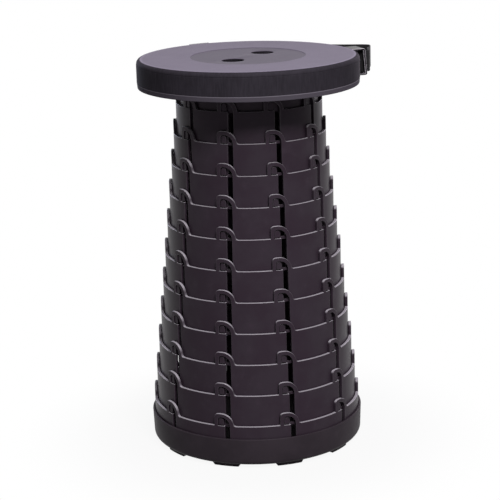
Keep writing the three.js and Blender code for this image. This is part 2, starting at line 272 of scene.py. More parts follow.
def finished(name: str, mesh: BMesh, edging: Edging | None,
             cutters: Sequence[Object] = ()) -> Object:
    """Turns a mesh under construction into an object with rounded edges and smooth faces.

    Args:
        name: The object's name.
        mesh: The mesh, which is used up.
        edging: How its edges are rounded, or None for edges left as they are.
        cutters: Closed objects cut out of it, which are removed afterwards.

    Returns:
        The new object, in the scene.
    """
    bmesh.ops.recalc_face_normals(mesh, faces=mesh.faces)
    data = bpy.data.meshes.new(name)
    mesh.to_mesh(data)
    mesh.free()
    data.shade_smooth()
    # Rounded edges with gloss and a painted highlight get a second material slot.
    if edging and edging.gloss_and_painted_highlight:
        data.materials.append(None)
        data.materials.append(None)
    made = bpy.data.objects.new(name, data)
    bpy.context.scene.collection.objects.link(made)
    for cutter in cutters:
        cut = made.modifiers.new("cut", "BOOLEAN")
        cut.operation = "DIFFERENCE"
        cut.object = cutter
        cut.solver = "EXACT"
    if edging:
        rounding = made.modifiers.new("rounded edges", "BEVEL")
        rounding.width = edging.width
        rounding.segments = edging.steps
        rounding.limit_method = "WEIGHT" if edging.weighted else "ANGLE"
        rounding.angle_limit = edging.sharper_than
        rounding.harden_normals = True
        rounding.material = 1 if edging.gloss_and_painted_highlight else -1
        rounding.miter_outer = "MITER_ARC"
    if made.modifiers:
        seen = made.evaluated_get(bpy.context.evaluated_depsgraph_get())
        kept = bpy.data.meshes.new_from_object(seen)
        made.modifiers.clear()
        made.data = kept
        bpy.data.meshes.remove(data)
    for cutter in cutters:
        bpy.data.objects.remove(cutter)
    return made


class Wire:
    """A value in a material's node tree that Python's arithmetic works on."""

    def __init__(self, recipe: "Recipe", socket: NodeSocket) -> None:
        """Wraps one output socket of a recipe's tree."""
        self.recipe = recipe
        self.socket = socket

    def __add__(self, other: "float | Wire") -> "Wire":
        """self + other."""
        return self.recipe.maths("ADD", self, other)

    def __radd__(self, other: float) -> "Wire":
        """other + self."""
        return self.recipe.maths("ADD", other, self)

    def __sub__(self, other: "float | Wire") -> "Wire":
        """self - other."""
        return self.recipe.maths("SUBTRACT", self, other)

    def __rsub__(self, other: float) -> "Wire":
        """other - self."""
        return self.recipe.maths("SUBTRACT", other, self)

    def __mul__(self, other: "float | Wire") -> "Wire":
        """self * other."""
        return self.recipe.maths("MULTIPLY", self, other)

    def ramp(self, low: float, high: float, start: float = 0.0, end: float = 1.0) -> "Wire":
        """Maps low..high smoothly to start..end and holds it outside.

        Args:
            low: Where the change starts.
            high: Where it ends.
            start: The result below low.
            end: The result above high.

        Returns:
            The mapped value.
        """
        settings = {"interpolation_type": "SMOOTHSTEP"}
        inputs = {"Value": self, "From Min": low, "From Max": high, "To Min": start, "To Max": end}
        return self.recipe.node("ShaderNodeMapRange", settings, inputs)


class Recipe:
    """The node tree of a material or of the world under construction."""

    def __init__(self, owner: Material | World) -> None:
        """Empties the tree and adds its output.

        Args:
            owner: The new material or world.
        """
        self.owner = owner
        owner.use_nodes = True
        self.tree = owner.node_tree
        self.tree.nodes.clear()
        kind = "Material" if isinstance(owner, Material) else "World"
        self.output = self.tree.nodes.new(f"ShaderNodeOutput{kind}")

    def node(self, kind: str, settings: dict[str, Setting] | None = None,
             inputs: dict[str | int, Value] | None = None, output: str | int = 0) -> Wire:
        """Adds one node.

        Args:
            kind: The node's type.
            settings: Its own settings, which are set first.
            inputs: Values or links of its sockets, by name or number.
            output: Which output is wanted.

        Returns:
            The wanted output.
        """
        made = self.tree.nodes.new(kind)
        for name, value in (settings or {}).items():
            setattr(made, name, value)
        for name, value in (inputs or {}).items():
            self.feed(made.inputs[name], value)
        return Wire(self, made.outputs[output])

    def feed(self, socket: NodeSocket, value: Value) -> None:
        """Gives a socket a link or a fixed value."""
        if isinstance(value, Wire):
            self.tree.links.new(value.socket, socket)
        else:
            socket.default_value = value

    def maths(self, operation: str, *values: "float | Wire") -> Wire:
        """Adds one Math node.

        Args:
            operation: The node's operation.
            values: Its inputs in order.

        Returns:
            The node's result.
        """
        return self.node("ShaderNodeMath", {"operation": operation}, dict(enumerate(values)))

    def place(self, stretch: Spot = (1.0, 1.0, 1.0), source: str = "Object") -> Wire:
        """Coordinates on the piece itself, in metres, stretched along each axis."""
        spot = self.node("ShaderNodeTexCoord", output=source)
        if stretch == (1.0, 1.0, 1.0):
            return spot
        return self.node("ShaderNodeVectorMath", {"operation": "MULTIPLY"}, {0: spot, 1: stretch})

    def axis(self, name: str, source: str = "Object") -> Wire:
        """One axis of the coordinates on the piece itself, or of its normal."""
        return self.node("ShaderNodeSeparateXYZ", None, {0: self.place(source=source)}, name)

    def reach(self) -> Wire:
        """Distance from the stool's axis."""
        plan = self.place((1.0, 1.0, 0.0))
        return self.node("ShaderNodeVectorMath", {"operation": "LENGTH"}, {0: plan}, "Value")

    def seen(self) -> Wire:
        """1 for what the camera sees directly, mirrored or through something, and 0 for light on pieces."""
        share = 0.0
        for ray in ("Is Camera Ray", "Is Glossy Ray", "Is Transmission Ray"):
            share = self.maths("MAXIMUM", self.node("ShaderNodeLightPath", output=ray), share)
        return share

    def noise(self, size: float, detail: float = 2.0, roughness: float = 0.5,
              stretch: Spot = (1.0, 1.0, 1.0)) -> Wire:
        """Soft noise from 0 to 1 with spots of about the given size in metres."""
        inputs = {"Vector": self.place(stretch), "Scale": 1 / size, "Detail": detail, "Roughness": roughness}
        return self.node("ShaderNodeTexNoise", None, inputs)

    def blend(self, share: Value, first: Value, second: Value) -> Wire:
        """Mixes two colours by a share from 0 to 1."""
        inputs = {0: share, 6: first, 7: second}
        return self.node("ShaderNodeMix", {"data_type": "RGBA"}, inputs, 2)

    def relief(self, height: Wire, depth: float, under: Wire | None = None) -> Wire:
        """A bumped normal: height from 0 to 1 stands for depth metres."""
        inputs = {"Height": height, "Distance": depth, "Strength": 1.0}
        if under:
            inputs["Normal"] = under
        return self.node("ShaderNodeBump", None, inputs)

    def finish(self, shader: Wire) -> None:
        """Shows a shader at the tree's output."""
        self.tree.links.new(shader.socket, self.output.inputs["Surface"])

    def surface(self, inputs: dict[str, Value]) -> Material:
        """Finishes a material with one Principled shader.

        Args:
            inputs: Values or links of the shader's sockets.

        Returns:
            The material.
        """
        self.finish(self.node("ShaderNodeBsdfPrincipled", None, inputs))
        return self.owner


def rgb(red: float, green: float, blue: float, factor: float = 1.0) -> tuple[float, float, float, float]:
    """A colour with full opacity, its channels multiplied by a factor."""
    return (red * factor, green * factor, blue * factor, 1.0)


@dataclass(frozen=True)
class MouldedPlastic:
    """Dark moulded plastic with a fine grain, soft mottling and rubbed patches, with glossier rounded edges
    that carry a painted highlight where they face up.
    """

    name: str
    colour: Spot
    roughness: float
    grain_size: float
    grain_depth: float
    specular: float = 0.05
    edge_roughness: float = 0.34
    edge_specular: float = 0.3
    # Painted highlight: a pale colour blended onto rounded edges, and flat faces where asked, that face up in a
    # piece's upper part.
    painted_highlight_colour: Spot = (0.19, 0.18, 0.2)
    painted_highlight_from: float = 0.2
    painted_highlight_above: float = 0.5
    painted_ledge_highlight: bool = False
    tint: Spot = (1.0, 1.0, 1.0)
    mottle: float = 0.1
    rub: float = 0.05
    cloud_size: float = 34.0 * MM
    streak_size: float = 9.0 * MM
    streak_depth: float = 0.02 * MM
    patch_size: float = 17.0 * MM
    clouded: tuple[float, float] = (0.35, 0.65)
    patched: tuple[float, float] = (0.56, 0.78)
    patch_share: float = 0.5
    patch_shade: float = 1.35
    grain_gloss: float = 0.04

    def make(self) -> list[Material]:
        """Builds the materials of the faces and of their rounded edges."""
        name = f"{self.name}_edge"
        edge = replace(self, name=name, roughness=self.edge_roughness, specular=self.edge_specular)
        return [self.face(False), edge.face(True)]

    def face(self, edge: bool) -> Material:
        """Builds one material.

        Args:
            edge: Whether it is for rounded edges, which get a painted highlight where they face up, as flat
                upward faces can too.

        Returns:
            The material.
        """
        recipe = Recipe(bpy.data.materials.new(self.name))
        mottling = recipe.noise(self.cloud_size, 3.0, 0.55).ramp(*self.clouded)
        streaks = recipe.noise(self.streak_size, 3.0, 0.6, (1.0, 1.0, 0.35))
        grain = recipe.noise(self.grain_size, 2.0, 0.6)
        rubbed = recipe.noise(self.patch_size, 5.0, 0.62).ramp(*self.patched)
        tinted = rgb(*(c * t for c, t in zip(self.colour, self.tint)), 1 + self.mottle)
        base = recipe.blend(mottling, rgb(*self.colour, 1 - self.mottle), tinted)
        base = recipe.blend(rubbed * self.patch_share, base, rgb(*self.colour, self.patch_shade))
        gloss = self.roughness + (streaks - 0.5) * self.rub - rubbed * self.rub
        gloss += (grain - 0.5) * self.grain_gloss
        # Painted highlight: faces whose normal points up, in the upper part of the piece, are blended towards
        # the pale highlight colour.
        if edge or self.painted_ledge_highlight:
            up = recipe.axis("Z", "Normal").ramp(self.painted_highlight_from, self.painted_highlight_from + 0.6)
            up *= recipe.axis("Z", "Generated").ramp(self.painted_highlight_above, self.painted_highlight_above + 0.1)
            base = recipe.blend(up, base, rgb(*self.painted_highlight_colour))
        base, gloss = self.zoned(recipe, base, gloss)
        soft = recipe.relief(streaks, self.streak_depth)
        return recipe.surface({
            "Base Color": base,
            "Roughness": gloss,
            "Specular IOR Level": self.specular,
            "Normal": recipe.relief(grain, self.grain_depth, soft),
        })

    def zoned(self, recipe: Recipe, base: Wire, gloss: Wire) -> tuple[Wire, Wire]:
        """Colour and roughness after changes by place, of which plain plastic has none."""
        return base, gloss


@dataclass(frozen=True)
class SeatPlastic(MouldedPlastic):
    """The lid's plastic, with light painted on as colour: a pale painted light on its flat top, a dimmer one on
    its dish, a painted highlight at the top's outer edge, a painted reflection on its lip and a painted
    highlight line over the lip.
    """

    top: float = 445.03 * MM
    bottom: float = 413.63 * MM
    lip: float = 6.0 * MM
    # Height of the painted highlight line under the lip's top.
    painted_lip_highlight_width: float = 0.9 * MM
    flat: float = 120.6 * MM
    # Width of the painted highlight along the flat top's outer edge.
    painted_rim_highlight_width: float = 4.0 * MM
    dish: float = 64.6 * MM
    # Painted light: the flat top and the dish are coloured far paler than the skirt, standing for light falling
    # on them from above.
    painted_top_light_colour: Spot = (0.134, 0.118, 0.158)
    top_roughness: float = 0.4
    painted_dish_light_colour: Spot = (0.092, 0.082, 0.106)
    # Painted reflection of the floor on the lip.
    painted_lip_reflection_colour: Spot = (0.066, 0.059, 0.073)
    # Painted highlight line just under the lip's top edge.
    painted_lip_highlight_colour: Spot = (0.15, 0.137, 0.162)
    drag_size: float = 1.8 * MM
    haze_size: float = 40.0 * MM
    dragged: tuple[float, float] = (0.35, 0.7)
    drag_share: float = 0.6
    drag_shade: float = 1.5
    dull_shade: float = 0.9
    pale_shade: float = 1.1
    painted_rim_highlight_shade: float = 1.4
    soft: float = 0.4 * MM

    def zoned(self, recipe: Recipe, base: Wire, gloss: Wire) -> tuple[Wire, Wire]:
        """Colour and roughness with the painted light on the flat top and dish, the painted highlight at the
        top's edge, the painted reflection on the lip and its painted highlight line; the skirt keeps the plain
        colour and the flat top is also less rough.
        """
        height, reach, soft = recipe.axis("Z"), recipe.reach(), self.soft
        # Masks of the flat top and of the dish, which get painted light.
        high = height.ramp(self.top - 3 * soft, self.top - 2 * soft)
        up = (1.0 - reach.ramp(self.flat - soft, self.flat + 2 * soft)) * high
        dished = (1.0 - reach.ramp(self.dish - soft, self.dish + soft)) * high
        lip_top = self.bottom + self.lip
        # Mask of the lip, which gets a painted reflection.
        under = 1.0 - height.ramp(lip_top - soft, lip_top)
        # Mask of the painted highlight line just under the lip's top.
        line = under * height.ramp(lip_top - self.painted_lip_highlight_width - soft, lip_top - self.painted_lip_highlight_width)
        haze = recipe.noise(self.haze_size, 4.0, 0.6)
        drag = recipe.noise(self.drag_size, 3.0, 0.6, (1.0, 1.0, 0.12))
        drawn = drag.ramp(*self.dragged) * self.drag_share
        base = recipe.blend(drawn, base, rgb(*self.colour, self.drag_shade))
        # Painted light on the flat top and a dimmer painted light on the dish, each hazed at random.
        pale, painted_dish_light = (recipe.blend(haze, rgb(*colour, self.dull_shade), rgb(*colour, self.pale_shade))
                      for colour in (self.painted_top_light_colour, self.painted_dish_light_colour))
        # Painted highlight along the outermost few millimetres of the flat top.
        painted_rim_highlight = reach.ramp(self.flat - self.painted_rim_highlight_width, self.flat)
        pale = recipe.blend(painted_rim_highlight, pale, rgb(*self.painted_top_light_colour, self.painted_rim_highlight_shade))
        base = recipe.blend(dished, recipe.blend(up, base, pale), painted_dish_light)
        # Painted reflection of the floor on the lip under the skirt.
        base = recipe.blend(under, base, rgb(*self.painted_lip_reflection_colour))
        # Painted highlight line along the top of the lip.
        base = recipe.blend(line, base, rgb(*self.painted_lip_highlight_colour))
        return base, gloss + up * (self.top_roughness - self.roughness)


@dataclass(frozen=True)
class WovenWebbing:
    """Flat webbing: warp ribs along the strap, crossed by finer weft."""

    name: str
    colour: Spot
    rib: float = 1.5 * MM
    pick: float = 0.9 * MM
    fuzz_size: float = 0.35 * MM
    depth: float = 0.25 * MM
    shift: float = 1.4
    rib_share: float = 0.5
    pick_share: float = 0.3
    fuzz_share: float = 0.4
    # Colour factors for the weave's low and high parts; the low one is a painted shade.
    shades: tuple[float, float] = (0.55, 1.5)

    def make(self) -> list[Material]:
        """Builds the material, on the strap's own length and width coordinates."""
        recipe = Recipe(bpy.data.materials.new(self.name))
        along = recipe.axis("X", "UV")
        across = recipe.axis("Y", "UV")
        rib = recipe.maths("SINE", across * (FULL_TURN / self.rib))
        pick = recipe.maths("SINE", along * (FULL_TURN / self.pick) + rib * self.shift)
        fuzz = recipe.noise(self.fuzz_size, 3.0, 0.7)
        # Colour follows the weave's height: darker where it lies low, as painted shade in its hollows, and
        # paler where it stands high.
        weave = (rib * self.rib_share + pick * self.pick_share + 1.0) * 0.5
        height = weave + (fuzz - 0.5) * self.fuzz_share
        shades = (rgb(*self.colour, shade) for shade in self.shades)
        return [recipe.surface({
            "Base Color": recipe.blend(height.ramp(0.1, 0.9), *shades),
            "Roughness": 0.78 + (fuzz - 0.5) * 0.2,
            "Specular IOR Level": 0.15,
            "Sheen Weight": 0.08,
            "Sheen Roughness": 0.5,
            "Normal": recipe.relief(height, self.depth),
        })]


@dataclass(frozen=True)
class PlatedSteel:
    """Zinc-plated screw steel with fine turning marks."""

    name: str
    colour: Spot = (0.62, 0.63, 0.65)
    cloud_size: float = 1.2 * MM
    mark_size: float = 0.3 * MM
    mark_depth: float = 0.01 * MM
    shades: tuple[float, float] = (0.8, 1.1)
    roughness: float = 0.28
    cloud_gloss: float = 0.18

    def make(self) -> list[Material]:
        """Builds the material."""
        recipe = Recipe(bpy.data.materials.new(self.name))
        clouds = recipe.noise(self.cloud_size, 4.0, 0.6)
        marks = recipe.noise(self.mark_size, 2.0, 0.5, (0.2, 0.2, 3.0))
        return [recipe.surface({
            "Base Color": recipe.blend(clouds, *(rgb(*self.colour, shade) for shade in self.shades)),
            "Metallic": 1.0,
            "Roughness": self.roughness + clouds * self.cloud_gloss,
            "Normal": recipe.relief(marks, self.mark_depth),
        })]


class Finish(Enum):
    """The finishes of the stool, each with the record's slot that it stands for."""

    # Rings and the collar: a painted highlight on up-facing rounded edges and on flat upward faces.
    RING = ("ring_shell", MouldedPlastic(
        "ring_plastic", (0.0305, 0.0208, 0.03), 0.36, 0.5 * MM, 0.012 * MM, 0.06,
        painted_highlight_colour=(0.26, 0.245, 0.27), tint=(0.94, 1.04, 0.97), painted_ledge_highlight=True))
    SEAT = ("seat_shell", SeatPlastic(
        "seat_plastic", (0.0215, 0.0192, 0.0242), 0.62, 0.8 * MM, 0.03 * MM, 0.012))
    # Loops: a strong painted highlight on rounded edges facing sideways or up, down the whole loop.
    LOOP = ("seat_shell", MouldedPlastic(
        "loop_plastic", (0.017, 0.0145, 0.018), 0.34, 0.8 * MM, 0.02 * MM, 0.15,
        painted_highlight_colour=(0.6, 0.57, 0.62), painted_highlight_from=-0.4, painted_highlight_above=0.0))
    TRAY = ("ring_shell", MouldedPlastic(
        "tray_plastic", (0.0265, 0.021, 0.026), 0.46, 0.6 * MM, 0.018 * MM))
    WEBBING = ("webbing", WovenWebbing("strap_webbing", (0.0075, 0.0073, 0.008)))
    SCREW = ("screw_steel", PlatedSteel("screw_zinc"))


class Wardrobe:
    """Makes each finish once and dresses pieces in it."""

    def __init__(self) -> None:
        """Starts with no finish made."""
        self.made: dict[Finish, list[Material]] = {}

    def dress(self, piece: Object, finish: Finish) -> None:
        """Gives a piece its material, one for each of its material slots.

        Args:
            piece: The object to dress.
            finish: What it is finished in.
        """
        slot, maker = finish.value
        if finish not in self.made:
            self.made[finish] = maker.make()
        slots = piece.data.materials
        if not slots:
            slots.append(None)
        for i in range(len(slots)):
            slots[i] = self.made[finish][i]


@dataclass(frozen=True)
class StackSizes:
    """Sizes that the rings share with the collar and the tray."""

    rings: int = 11
    columns: int = 10
    top_radius: float = 82.35 * MM
    wall: float = 3.1 * MM
    gap: float = 0.6 * MM
    rise: float = 34.73 * MM
    lap: float = 1.9 * MM
    top_turn: float = 21.5
    creep: float = 0.2
    slot: float = 6.0 * MM
    hoop: float = 3.1 * MM
    arch: float = 9.8 * MM
    rim: float = 4.2 * MM
    flare: float = 2.4 * MM
    ledge: float = 8.0 * MM
    pocket_corner: float = 3.2 * MM
    peg_width: float = 5.6 * MM
    peg_height: float = 8.6 * MM
    peg_gap: float = 0.7 * MM
    peg_root: float = 0.5 * MM
    crown_steps: int = 10
    groove_gap: float = 0.3 * MM
    groove_skin: float = 0.9 * MM
    tip_gap: float = 0.2 * MM
    rest_gap: float = 0.3 * MM

    def radius(self, index: int) -> float:
        """Outer radius of a ring, where 0 is the collar under the seat."""
        return self.top_radius + (index - 1) * (self.wall + self.gap)

    def turn(self, index: int) -> float:
        """Turn of a ring's first slot about the axis, in radians."""
        return math.radians(self.top_turn - (index - 1) * self.creep) - QUARTER

    @property
    def body(self) -> float:
        """Height of a ring from its foot to its shoulder."""
        return self.rise + self.lap

    @property
    def arch_centre(self) -> float:
        """Sideways place of the centre that the hook's arcs share."""
        return self.slot / 2 - self.arch

    @property
    def pocket_left(self) -> float:
        """Sideways place of the pocket's closed side."""
        return -self.slot / 2 - self.ledge

    @property
    def peg_reach(self) -> float:
        """How far a peg stands out from its wall."""
        return self.gap + self.wall - self.groove_skin - self.tip_gap

    @property
    def peg_centre(self) -> float:
        """Sideways place of the peg in its pocket."""
        return self.pocket_left + self.peg_gap + self.peg_width / 2


def round_wall(radius: float, turn: float, lift: float) -> Callable[[float, float, float], Vector]:
    """Maps a flat drawing of a ring's wall onto the ring.

    Args:
        radius: Radius at depth zero, where distances along the drawing are true.
        turn: Angle of the drawing's origin, in radians.
        lift: Height of the drawing's origin.

    Returns:
        A function of the distance along the wall, the height and the depth into it.
    """
    def place(along: float, height: float, depth: float) -> Vector:
        """The point in metres."""
        angle, reach = turn + along / radius, radius - depth
        return Vector((reach * math.cos(angle), reach * math.sin(angle), lift + height))

    return place


def pour_pegs(mesh: BMesh, s: StackSizes, index: int, reach: float, lift: float) -> None:
    """Adds a ring's ten round-topped pegs, each in a pocket of the next ring out.

    Args:
        mesh: The mesh that takes them.
        s: The stack's sizes.
        index: The ring's number, or 0 for the collar.
        reach: How far they stand out from the wall.
        lift: Height of the next ring's shoulder.
    """
    half = s.peg_width / 2
    shoulder = s.rest_gap + s.peg_height - half
    plan = [(-half, s.rest_gap), (half, s.rest_gap), *arc((0.0, shoulder), half, 0, 180, s.crown_steps)]
    for column in range(s.columns):
        turn = s.turn(index + 1) + FULL_TURN * column / s.columns
        wall = round_wall(s.radius(index), turn + s.peg_centre / s.radius(index + 1), lift)
        pour_rows(mesh, [[wall(x, z, depth) for x, z in plan] for depth in (s.peg_root, -reach)])


@dataclass
class Ring:
    """One ring: a wall with slots, hooks that arch over them, grooves inside and pegs at its foot."""

    sizes: StackSizes
    index: int
    shoulder: float
    peg_reach: float
    edging: Edging = Edging(1.0 * MM, 3, weighted=True, gloss_and_painted_highlight=True)
    inside_share: float = 0.4
    room_share: float = 0.45
    skin: float = 0.05 * MM
    step: float = 2.6 * MM
    corner_steps: int = 4
    arch_steps: int = 10
    flank_end: float = 18.0
    foot_steps: int = 3

    def hook_edges(self) -> tuple[list[Point], list[Point]]:
        """The hook's inner and outer edges.

        Returns:
            Two lists of as many points, from the leg over the crown to the flank's foot.
        """
        s = self.sizes
        left = s.pocket_left
        high = s.arch + s.rim
        turn_in = s.pocket_corner
        inner = [(left, 0.0), (left, (s.arch - turn_in) / 2)]
        inner += arc((left + turn_in, s.arch - turn_in), turn_in, 180, 90, self.corner_steps)
        inner += arc((s.arch_centre, 0.0), s.arch, 90, 0, self.arch_steps)
        outer = [(left - s.rim, 0.0), (left - s.rim, (high - s.rim) / 2)]
        outer += arc((left, high - s.rim), s.rim, 180, 90, self.corner_steps)
        flank = arc((s.arch_centre, 0.0), high, 90, self.flank_end, self.arch_steps - self.foot_steps)
        foot = (s.slot / 2 + s.rim + s.flare, 0.0)
        outer += flank + bend(flank[-1], (s.arch_centre + high, 0.0), foot, self.foot_steps)
        return inner, outer

    def knots(self) -> list[float]:
        """Places along the wall, from a slot's right side to the next slot's left side."""
        s = self.sizes
        pitch = FULL_TURN * s.radius(self.index) / s.columns
        start = s.slot / 2 + s.rim + s.flare
        end = pitch + s.pocket_left - s.rim
        count = max(2, round((end - start) / self.step))
        plain = [start + (end - start) * i / count for i in range(count + 1)]
        groove_right = pitch + s.peg_centre + s.peg_width / 2 + s.groove_gap
        middle = pitch + (s.pocket_left + s.peg_centre + s.peg_width / 2) / 2
        return [s.slot / 2, *plain, pitch + s.pocket_left, middle, groove_right, pitch - s.slot / 2]

    def wall(self) -> CellSolid:
        """The ring's wall with its hooks, as cells in two layers: the skin and the grooved rest."""
        s = self.sizes
        solid = CellSolid(round_wall(s.radius(self.index), s.turn(self.index), self.shoulder))
        pitch = FULL_TURN * s.radius(self.index) / s.columns
        levels = [-s.body, s.hoop - s.body, -s.body / 2, -s.body / 5, 0.0]
        knots = self.knots()
        cells = []
        for left, right in zip(knots, knots[1:]):
            grooved = pitch + s.pocket_left <= left < knots[-2]
            for low, high in zip(levels, levels[1:]):
                cells.append((grooved, rectangle(left, low, right, high)))
        cells.append((False, rectangle(-s.slot / 2, -s.body, s.slot / 2, levels[1])))
        cells += [(False, plan) for plan in band(*self.hook_edges())]
        for column in range(s.columns):
            for near, far in ((0.0, s.groove_skin), (s.groove_skin, s.wall)):
                for grooved, plan in cells:
                    if near == 0 or not grooved:
                        solid.add([(x + pitch * column, z) for x, z in plan], near, far)
        return solid

    def build(self) -> Object:
        """Makes the ring with its pegs."""
        s = self.sizes
        mesh = bmesh.new()
        self.wall().pour(mesh)
        pour_pegs(mesh, s, self.index, self.peg_reach, self.shoulder - s.rise)
        self.weigh_edges(mesh)
        return finished(f"ring_{self.index}_shell", mesh, self.edging)

    def weigh_edges(self, mesh: BMesh) -> None:
        """Gives sharp edges of the outer face their full rounding where there is room, and others less."""
        s = self.sizes
        bmesh.ops.recalc_face_normals(mesh, faces=mesh.faces)
        weight = mesh.edges.layers.float.new("bevel_weight_edge")
        low = self.shoulder - s.body + s.hoop / 2
        outside = s.radius(self.index) - self.skin
        for edge in mesh.edges:
            if edge.calc_face_angle(0.0) > self.edging.sharper_than:
                shown = all(v.co.z > low and math.hypot(v.co.x, v.co.y) > outside for v in edge.verts)
                beside = [e.calc_length() for face in edge.link_faces for e in face.edges
                          if len(set(e.verts) & set(edge.verts)) == 1]
                room = self.room_share * min(beside) / self.edging.width
                edge[weight] = min(1.0 if shown else self.inside_share, room)


@dataclass
class RingStack:
    """The eleven rings, from the top one down."""

    sizes: StackSizes
    wardrobe: Wardrobe
    lug_reach: float = 1.55 * MM

    def build(self) -> None:
        """Makes each ring, dresses it and lets it ride on its stage."""
        s = self.sizes
        for index in range(1, s.rings + 1):
            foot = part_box(f"ring_{index}")[0][2]
            lowest = index == s.rings
            piece = Ring(s, index, foot + s.body, self.lug_reach if lowest else s.peg_reach).build()
            self.wardrobe.dress(piece, Finish.RING)
            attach(piece, "base" if lowest else f"stage_{index}")
            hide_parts(f"ring_{index}")
            log.info("ring %d: radius %.1f mm", index, s.radius(index) / MM)


@dataclass
class SeatLid:
    """The seat: dished plate, rounded rim, skirt with a bevelled lip, ribs and bosses."""

    sizes: StackSizes
    wardrobe: Wardrobe
    radius: float = 125.0 * MM
    plate: float = 3.0 * MM
    skirt: float = 4.0 * MM
    cap_inset: float = 0.25 * MM
    cap_rounding: float = 4.4 * MM
    cap_depth: float = 5.2 * MM
    lip_height: float = 6.0 * MM
    lip_inset: float = 0.6 * MM
    lip_edge: float = 0.5 * MM
    crisp: float = 0.3 * MM
    dish_radius: float = 64.0 * MM
    dish_depth: float = 0.6 * MM
    dish_edge: float = 0.8 * MM
    hole_radius: float = 12.6 * MM
    hole_offset: float = 32.0 * MM
    hole_turn: float = 58.9
    hole_collar: float = 2.2 * MM
    hole_depth: float = 8.0 * MM
    boss_radius: float = 4.2 * MM
    boss_depth: float = 8.0 * MM
    rib_depth: float = 6.0 * MM
    rib_wall: float = 2.0 * MM
    hub_radius: float = 46.0 * MM
    flange: float = 15.5 * MM
    screws: int = 5
    screw_bore: float = 1.8 * MM
    bury: float = 0.8 * MM
    overrun: float = 1.0 * MM
    hole_ease: float = 0.7 * MM
    core: float = 20.0 * MM
    edging: Edging = Edging(0.3 * MM)
    segments: int = 180
    hub_segments: int = 90
    hole_segments: int = 64
    boss_segments: int = 32

    def __post_init__(self) -> None:
        """Takes the seat's heights from its solid."""
        low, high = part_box("seat_lid")
        self.bottom = low[2]
        self.top = high[2]
        self.under = self.top - self.plate

    @property
    def screw_circle(self) -> float:
        """Radius of the circle that the screws stand on."""
        return self.sizes.radius(0) - self.sizes.wall - self.flange / 2

    def profile(self) -> list[Point]:
        """The lid's section, from under its middle round the skirt to the middle of its top."""
        inner = self.radius - self.skirt
        foot = self.radius - self.lip_inset
        cap = self.radius - self.cap_inset
        edge, crisp = self.lip_edge, self.crisp
        low, top = self.bottom, self.top
        lip_top = low + self.lip_height
        shoulder = top - self.cap_depth
        dish, rim, dished = self.dish_radius, self.dish_radius + self.dish_edge, top - self.dish_depth
        return [
            (self.core, self.under),
            *arc((inner - self.skirt, self.under - self.skirt), self.skirt, 90, 0, 4),
            (inner, low + edge),
            (inner + edge, low),
            (foot - edge, low),
            (foot - edge / 4, low + edge / 4),
            (foot, low + edge),
            (foot + crisp / 8, low + edge + crisp),
            (self.radius - edge / 4 - crisp / 8, lip_top - edge / 3 - crisp),
            (self.radius - edge / 4, lip_top - edge / 3),
            (self.radius, lip_top),
            (self.radius, lip_top + crisp),
            (self.radius, shoulder - self.cap_inset - crisp),
            (self.radius, shoulder - self.cap_inset),
            (cap - self.cap_inset / 2, shoulder),
            (cap, shoulder + self.cap_inset / 2),
            *arc((cap - self.cap_rounding, top - self.cap_rounding), self.cap_rounding, 0, 90, 8),
            (cap - self.cap_rounding - crisp, top),
            (rim + self.dish_edge, top),
            (rim, top),
            *bend((rim, top), (dish + self.dish_edge / 2, top - self.dish_depth / 2), (dish, dished), 4),
            (dish - crisp, dished),
            (self.core, dished),
        ]

    def hole_centres(self) -> list[Point]:
        """Plan places of the two finger holes."""
        return spread(self.hole_offset, math.radians(self.hole_turn), 2)

    def hole_cutter(self, centre: Point) -> Object:
        """A bar that cuts one finger hole, with a widening round its upper edge."""
        mesh = bmesh.new()
        ease = self.hole_ease
        wide, start = self.hole_radius + ease, self.top - self.dish_depth - ease
        bar = [
            (self.hole_radius, self.under - self.hole_depth - self.overrun),
            (self.hole_radius, start),
            *arc((wide, start), ease, 180, 90, 4)[1:],
            (wide, self.top + self.overrun),
        ]
        pour_revolved(mesh, bar, self.hole_segments, centre)
        return finished("finger_hole_cutter", mesh, None)

    def shell(self) -> Object:
        """The lid's plate and skirt, with its finger holes."""
        mesh = bmesh.new()
        pour_revolved(mesh, self.profile(), self.segments)
        cutters = [self.hole_cutter(centre) for centre in self.hole_centres()]
        return finished("seat_lid_shell", mesh, None, cutters)

    def stiffening(self) -> Object:
        """The hub ring, ribs, hole collars and screw bosses under the plate."""
        mesh = bmesh.new()
        low, high = self.under - self.rib_depth, self.under + self.bury
        hub = tube(self.hub_radius - self.rib_wall, self.hub_radius, low, high)
        pour_revolved(mesh, hub, self.hub_segments)
        collar = tube(self.hole_radius, self.hole_radius + self.hole_collar, self.under - self.hole_depth, high)
        for centre in self.hole_centres():
            pour_revolved(mesh, collar, self.hole_segments, centre)
        end = self.screw_circle - self.boss_radius
        for rib in range(self.sizes.columns):
            turn = FULL_TURN * (rib + 0.5) / self.sizes.columns
            pour_box(mesh, (self.hub_radius - self.bury, -self.rib_wall / 2, low),
                     (end, self.rib_wall / 2, high), turn)
        boss = tube(self.screw_bore, self.boss_radius, self.under - self.boss_depth, high)
        for spot in self.screw_places():
            pour_revolved(mesh, boss, self.boss_segments, spot)
        return finished("seat_lid_stiffening", mesh, self.edging)

    def screw_places(self) -> list[Point]:
        """Plan places of the screws."""
        return spread(self.screw_circle, self.sizes.turn(0), self.screws)

    def build(self) -> None:
        """Makes the lid and what stiffens it, and dresses both."""
        for piece in (self.shell(), self.stiffening()):
            self.wardrobe.dress(piece, Finish.SEAT)
            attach(piece, "seat")
            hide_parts("seat_lid")
            log.info("%s made", piece.name)


